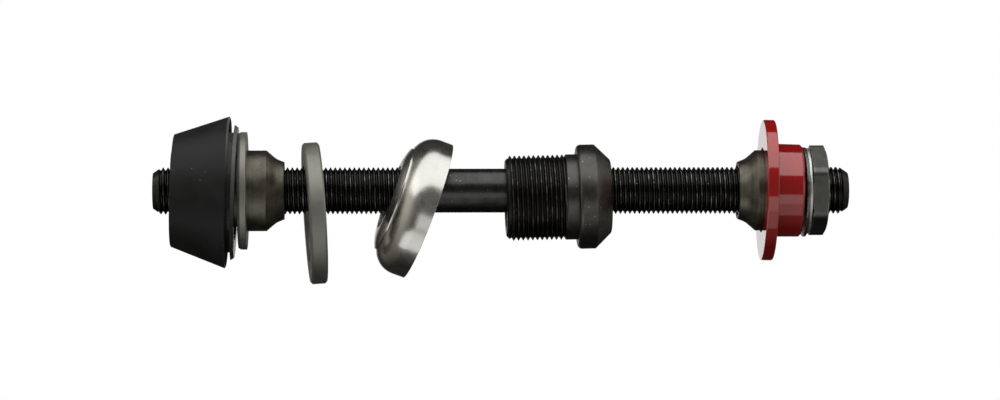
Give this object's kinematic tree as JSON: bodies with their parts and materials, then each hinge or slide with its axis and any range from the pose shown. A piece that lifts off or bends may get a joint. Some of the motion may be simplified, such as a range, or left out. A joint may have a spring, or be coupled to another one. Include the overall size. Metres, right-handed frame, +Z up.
{
  "type": "bicycle hub axle",
  "caption": "Threaded hollow hub axle with bearing cones, locknuts, washers, a rubber seal boot and a red flanged collar, and a loose ring, bearing cup and hollow bolt hung between them.",
  "frame": {"origin": "middle of the axle, on the axis of its skewer bore", "axes": "+X along the axle towards the red collar, +Z up, with the loose pieces hanging downwards, -Y towards the picture's camera"},
  "size_m": [0.146, 0.0318, 0.0352],
  "materials": {
    "black_axle_steel": "black oxide, slightly oily",
    "black_nut_steel": "dark phosphate",
    "dark_bolt_steel": "dark phosphate",
    "ground_cone_steel": "ground, dark tempered",
    "satin_steel": "satin",
    "polished_steel": "polished",
    "zinc_steel": "bright zinc",
    "black_rubber": "matt moulded",
    "red_anodised": "red anodised, satin"
  },
  "bodies": {
    "root": {"axle": "black_axle_steel", "left_locknut": "black_nut_steel", "left_lock_washer": "black_nut_steel", "left_spacer": "black_nut_steel", "left_cone": "ground_cone_steel", "left_dust_shield": "satin_steel", "left_seal_boot": "black_rubber", "spacer_ring": "satin_steel", "bearing_cup": "polished_steel", "fixing_bolt": "dark_bolt_steel", "right_cone": "ground_cone_steel", "right_red_collar": "red_anodised", "right_lock_washer": "black_nut_steel", "right_shim_washer": "zinc_steel", "right_locknut": "black_nut_steel"}
  },
  "joints": []
}
